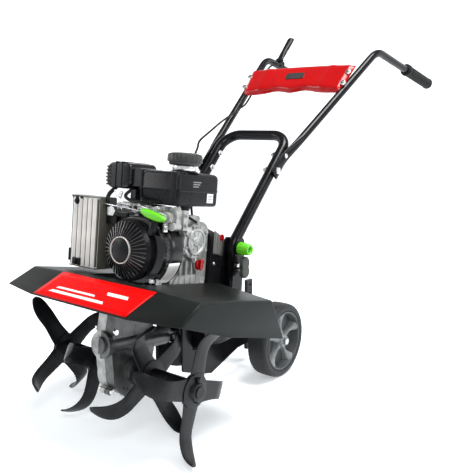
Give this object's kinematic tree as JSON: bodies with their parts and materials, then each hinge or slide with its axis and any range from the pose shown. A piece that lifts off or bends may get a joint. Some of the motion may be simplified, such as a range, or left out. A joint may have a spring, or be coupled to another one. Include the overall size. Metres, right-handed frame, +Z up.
{
  "type": "tiller",
  "caption": "Front-tine garden tiller: petrol engine over a worm gearbox with four-blade tine sets, hood, wheels and folding handlebars with an engage lever.",
  "frame": {"origin": "on the ground plane, midway between the tines' front and the grips' rear ends, in the plane of symmetry of the frame", "axes": "-Y is the direction of travel, +X is the operator's left and +Z is up"},
  "size_m": [0.534, 1.4043, 0.9777],
  "materials": {
    "tine_steel": "satin black paint on the tines",
    "frame_black": "semi-gloss black paint",
    "hood_grey": "satin dark grey paint",
    "cast_case": "as-cast",
    "steel": "zinc plated",
    "bronze": "machined bronze",
    "rubber": "matte black",
    "tyre": "matte black",
    "hub_grey": "moulded grey",
    "engine_black": "fine textured black",
    "tank_black": "moulded black",
    "cap_grey": "moulded dark grey",
    "guard_silver": "silver heat-proof paint",
    "red_plastic": "glossy red",
    "green_plastic": "satin bright green",
    "knob_grey": "moulded grey-green"
  },
  "bodies": {
    "machine": {"gearbox_left": "cast_case", "gearbox_right": "cast_case", "gearbox_bolts": "steel", "worm_bearings": "steel", "shaft_seals": "rubber", "engine_frame": "frame_black", "handlebar_brackets": "frame_black", "wheel_bracket": "frame_black", "wheel_axle": "steel", "hood": "hood_grey", "crankcase": "cast_case", "crankcase_cover": "cast_case", "cylinder_block": "cast_case", "rocker_cover": "engine_black", "ignition": "engine_black", "piston_rod": "cast_case", "blower_housing": "engine_black", "starter_cover": "engine_black", "carburetor": "cast_case", "air_cleaner": "engine_black", "fuel_tank": "tank_black", "muffler": "steel", "muffler_guard": "guard_silver", "belt_cover": "engine_black", "drive_belt": "rubber", "cable_at_engine": "rubber"},
    "tines": {"tine_shaft": "steel", "worm_wheel": "bronze", "tine_outer_left": "tine_steel", "tine_inner_left": "tine_steel", "tine_inner_right": "tine_steel", "tine_outer_right": "tine_steel", "hitch_pins": "steel"},
    "worm": {"worm_shaft": "steel", "driven_pulley": "steel"},
    "crank": {"crankshaft": "steel", "flywheel": "steel", "drive_pulley": "steel"},
    "wheel_left": {"wheel_left": "hub_grey", "tyre_left": "tyre"},
    "wheel_right": {"wheel_right": "hub_grey", "tyre_right": "tyre"},
    "handlebar": {"lower_handlebar": "frame_black", "upper_handlebars": "frame_black", "console_panel": "red_plastic", "grips": "rubber", "fasteners": "steel", "cable_at_handlebar": "rubber"},
    "engage_lever": {"engage_lever": "engine_black"},
    "idler": {"idler_arm": "steel"},
    "pull_handle": {"pull_handle": "green_plastic"},
    "starter_pulley": {"starter_pulley": "engine_black"},
    "choke": {"choke_lever": "steel"},
    "throttle": {"throttle_lever": "steel"},
    "fuel_cap": {"fuel_cap": "cap_grey"},
    "oil_plug": {"oil_plug": "red_plastic"},
    "height_knob_left": {"height_knob_left": "knob_grey"},
    "height_knob_right": {"height_knob_right": "knob_grey"},
    "release_knob": {"release_knob": "green_plastic"},
    "depth_stake": {"depth_stake": "steel"}
  },
  "joints": [
    {"name": "tine_spin", "type": "hinge", "parent": "machine", "child": "tines", "pos_m": [0, -0.5671, 0.14], "axis": [1, 0, 0], "continuous": true},
    {"name": "worm_spin", "type": "hinge", "parent": "machine", "child": "worm", "pos_m": [0, -0.55918, 0.20452], "axis": [0, 0.9925, -0.1219], "continuous": true},
    {"name": "crank_spin", "type": "hinge", "parent": "machine", "child": "crank", "pos_m": [0, -0.53419, 0.40799], "axis": [0, 0.9925, -0.1219], "continuous": true},
    {"name": "wheel_left_spin", "type": "hinge", "parent": "machine", "child": "wheel_left", "pos_m": [0.115, -0.1071, 0.1015], "axis": [1, 0, 0], "continuous": true},
    {"name": "wheel_right_spin", "type": "hinge", "parent": "machine", "child": "wheel_right", "pos_m": [-0.115, -0.1071, 0.1015], "axis": [1, 0, 0], "continuous": true},
    {"name": "handlebar_fold", "type": "hinge", "parent": "machine", "child": "handlebar", "pos_m": [0, -0.2961, 0.342], "axis": [1, 0, 0], "range_deg": [-12, 0]},
    {"name": "engage_press", "type": "hinge", "parent": "handlebar", "child": "engage_lever", "pos_m": [-0.198, 0.3909, 0.895], "axis": [-1, 0, 0], "range_deg": [0, 48], "stiffness_Nm_per_rad": 0.25, "springref_deg": -34.38},
    {"name": "idler_swing", "type": "hinge", "parent": "machine", "child": "idler", "pos_m": [0.056, -0.35794, 0.23522], "axis": [0, 0.9925, -0.1219], "range_deg": [-8.2, 0]},
    {"name": "starter_pull", "type": "slide", "parent": "machine", "child": "pull_handle", "axis": [0.2079, 0.1192, 0.9709], "range_m": [0, 0.018], "stiffness_N_per_m": 400, "springref_m": -0.01},
    {"name": "starter_turn", "type": "hinge", "parent": "machine", "child": "starter_pulley", "pos_m": [0, -0.54214, 0.40896], "axis": [0, 0.9925, -0.1219], "range_deg": [0, 35]},
    {"name": "choke_turn", "type": "hinge", "parent": "machine", "child": "choke", "pos_m": [-0.032, -0.50299, 0.49806], "axis": [0, 0.9925, -0.1219], "range_deg": [0, 40]},
    {"name": "throttle_turn", "type": "hinge", "parent": "machine", "child": "throttle", "pos_m": [0, -0.50299, 0.49806], "axis": [0, 0.9925, -0.1219], "range_deg": [-30, 0]},
    {"name": "fuel_cap_turn", "type": "hinge", "parent": "machine", "child": "fuel_cap", "pos_m": [0.067, -0.42721, 0.60643], "axis": [0, 0.1219, 0.9925], "range_deg": [0, 90]},
    {"name": "oil_plug_turn", "type": "hinge", "parent": "machine", "child": "oil_plug", "pos_m": [0.07, -0.38946, 0.35596], "axis": [1, 0, 0], "range_deg": [-90, 0]},
    {"name": "height_knob_left_turn", "type": "hinge", "parent": "machine", "child": "height_knob_left", "pos_m": [0.134, -0.2961, 0.342], "axis": [1, 0, 0], "range_deg": [-180, 0]},
    {"name": "height_knob_right_turn", "type": "hinge", "parent": "machine", "child": "height_knob_right", "pos_m": [-0.134, -0.2961, 0.342], "axis": [1, 0, 0], "range_deg": [0, 180]},
    {"name": "release_pull", "type": "slide", "parent": "machine", "child": "release_knob", "axis": [1, 0, 0], "range_m": [0, 0.012], "stiffness_N_per_m": 600, "springref_m": -0.01},
    {"name": "stake_slide", "type": "slide", "parent": "machine", "child": "depth_stake", "axis": [0, 0, 1], "range_m": [-0.026, 0.026]}
  ],
  "couplings": [
    {"joint": "worm_spin", "follows": "tine_spin", "ratio": 16},
    {"joint": "crank_spin", "follows": "tine_spin", "ratio": 24},
    {"joint": "idler_swing", "follows": "engage_press", "ratio": -0.17},
    {"joint": "starter_turn", "follows": "starter_pull", "rad_per_m": 33.355}
  ]
}
